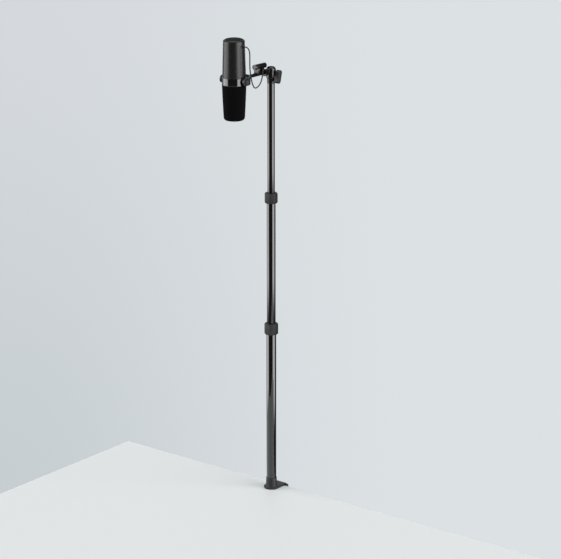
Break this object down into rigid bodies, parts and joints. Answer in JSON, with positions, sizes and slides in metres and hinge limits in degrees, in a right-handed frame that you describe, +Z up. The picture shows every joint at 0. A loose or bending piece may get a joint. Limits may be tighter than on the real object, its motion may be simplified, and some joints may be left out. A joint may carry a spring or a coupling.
{
  "type": "desk pole microphone",
  "caption": "Telescopic desk pole on an edge clamp, with a ball head and short arm that hold a broadcast microphone in a yoke.",
  "frame": {"origin": "pole axis in the plane of the desk top, on the underside of the clamp's top pad", "axes": "+Z up the pole, +Y out over the desk's back edge, -Y towards the microphone, +X to the right of a person who sits at the desk"},
  "size_m": [0.0876, 0.2013, 1.2602],
  "materials": {
    "powder_coat_black": "fine textured black powder coat",
    "pad_rubber": "soft black rubber",
    "zinc_steel": "zinc plated steel",
    "gloss_black_tube": "gloss black on steel tube",
    "collar_plastic": "moulded black nylon, satin",
    "acetal_black": "black acetal",
    "black_anodised": "gloss black anodised",
    "yoke_paint": "satin black paint",
    "shell_enamel": "satin dark grey enamel on aluminium",
    "ring_gloss": "gloss black lacquer",
    "foam": "open cell black foam",
    "steel_mesh": "perforated steel",
    "cap_nickel": "satin nickel",
    "insert_plastic": "grey plastic",
    "chassis_aluminium": "turned aluminium",
    "soft_rubber": "soft rubber",
    "transformer_steel": "varnished laminations",
    "board": "glass epoxy board",
    "lead_jacket": "flexible PVC jacket"
  },
  "bodies": {
    "root": {"clamp_frame": "powder_coat_black", "top_pad": "pad_rubber", "pole_socket": "powder_coat_black", "pole_bolt": "zinc_steel", "lower_tube": "gloss_black_tube", "lower_tube_plug": "zinc_steel", "lower_clutch": "acetal_black"},
    "clamp_disc": {"pressure_disc": "zinc_steel", "pressure_pad": "pad_rubber"},
    "clamp_screw": {"clamp_screw": "zinc_steel", "clamp_knob": "collar_plastic"},
    "lower_collar": {"lower_collar": "collar_plastic"},
    "middle_stage": {"middle_tube": "gloss_black_tube", "middle_guide": "acetal_black", "upper_clutch": "acetal_black"},
    "upper_collar": {"upper_collar": "collar_plastic"},
    "upper_carriage": {"upper_guide": "acetal_black"},
    "upper_stage": {"upper_tube": "gloss_black_tube", "tube_top_plug": "zinc_steel", "head_housing": "black_anodised", "ball_cup": "acetal_black"},
    "head_lock": {"lock_knob": "collar_plastic", "lock_screw": "zinc_steel"},
    "ball_stud": {"ball_stud": "black_anodised", "stud_washer": "acetal_black"},
    "arm_nut": {"arm_lock_nut": "black_anodised"},
    "arm": {"arm_tube": "gloss_black_tube", "yoke_band": "yoke_paint", "yoke_bolt": "zinc_steel", "barrel_saddle": "black_anodised", "connector_barrel": "black_anodised", "barrel_end_cap": "cap_nickel", "connector_insert": "insert_plastic", "connector_pins": "cap_nickel", "lead_gland": "soft_rubber"},
    "left_pivot": {"left_yoke_knob": "yoke_paint", "left_pivot_screw": "zinc_steel"},
    "right_pivot": {"right_yoke_knob": "yoke_paint", "right_pivot_screw": "zinc_steel"},
    "microphone": {"mid_ring": "ring_gloss", "pivot_washers": "acetal_black", "rear_shell": "shell_enamel", "rear_cap": "shell_enamel", "shell_strain_relief": "soft_rubber", "foam_windscreen": "foam", "grille_basket": "steel_mesh", "inner_chassis": "chassis_aluminium", "capsule_shock_mount": "soft_rubber", "dynamic_capsule": "chassis_aluminium", "matching_transformer": "transformer_steel", "circuit_board": "board", "mic_lead": "lead_jacket"}
  },
  "joints": [
    {"name": "clamp_disc_travel", "type": "slide", "parent": "root", "child": "clamp_disc", "axis": [0, 0, 1], "range_m": [-0.031, 0.02]},
    {"name": "clamp_screw_turn", "type": "hinge", "parent": "clamp_disc", "child": "clamp_screw", "pos_m": [0, 0, -0.06], "axis": [0, 0, 1], "range_deg": [-3732, 2412]},
    {"name": "lower_collar_turn", "type": "hinge", "parent": "root", "child": "lower_collar", "pos_m": [0, 0, 0.41], "axis": [0, 0, 1], "range_deg": [0, 180]},
    {"name": "middle_tube_slide", "type": "slide", "parent": "root", "child": "middle_stage", "axis": [0, 0, 1], "range_m": [-0.298, 0.02]},
    {"name": "upper_collar_turn", "type": "hinge", "parent": "middle_stage", "child": "upper_collar", "pos_m": [0, 0, 0.7355], "axis": [0, 0, 1], "range_deg": [0, 180]},
    {"name": "upper_tube_slide", "type": "slide", "parent": "middle_stage", "child": "upper_carriage", "axis": [0, 0, 1], "range_m": [-0.262, 0.02]},
    {"name": "pole_turn", "type": "hinge", "parent": "upper_carriage", "child": "upper_stage", "pos_m": [0, 0, 0.67], "axis": [0, 0, 1], "continuous": true},
    {"name": "head_lock_turn", "type": "hinge", "parent": "upper_stage", "child": "head_lock", "pos_m": [0, 0, 1.0305], "axis": [1, 0, 0], "range_deg": [0, 180]},
    {"name": "arm_tilt", "type": "hinge", "parent": "upper_stage", "child": "ball_stud", "pos_m": [0, 0, 1.0415], "axis": [-1, 0, 0], "range_deg": [0, 90]},
    {"name": "arm_nut_turn", "type": "hinge", "parent": "ball_stud", "child": "arm_nut", "pos_m": [0, -0.0244, 1.0415], "axis": [0, -1, 0], "range_deg": [0, 180]},
    {"name": "arm_roll", "type": "hinge", "parent": "ball_stud", "child": "arm", "pos_m": [0, -0.05, 1.0415], "axis": [0, -1, 0], "range_deg": [-90, 90]},
    {"name": "left_knob_turn", "type": "hinge", "parent": "arm", "child": "left_pivot", "pos_m": [-0.037, -0.137, 1.0415], "axis": [-1, 0, 0], "range_deg": [0, 180]},
    {"name": "right_knob_turn", "type": "hinge", "parent": "arm", "child": "right_pivot", "pos_m": [0.037, -0.137, 1.0415], "axis": [1, 0, 0], "range_deg": [0, 180]},
    {"name": "mic_tilt", "type": "hinge", "parent": "arm", "child": "microphone", "pos_m": [0, -0.137, 1.0415], "axis": [1, 0, 0], "range_deg": [-25, 25], "deforming": ["mic_lead"]}
  ],
  "couplings": [
    {"joint": "clamp_screw_turn", "follows": "clamp_disc_travel", "rad_per_m": 2094.4}
  ]
}
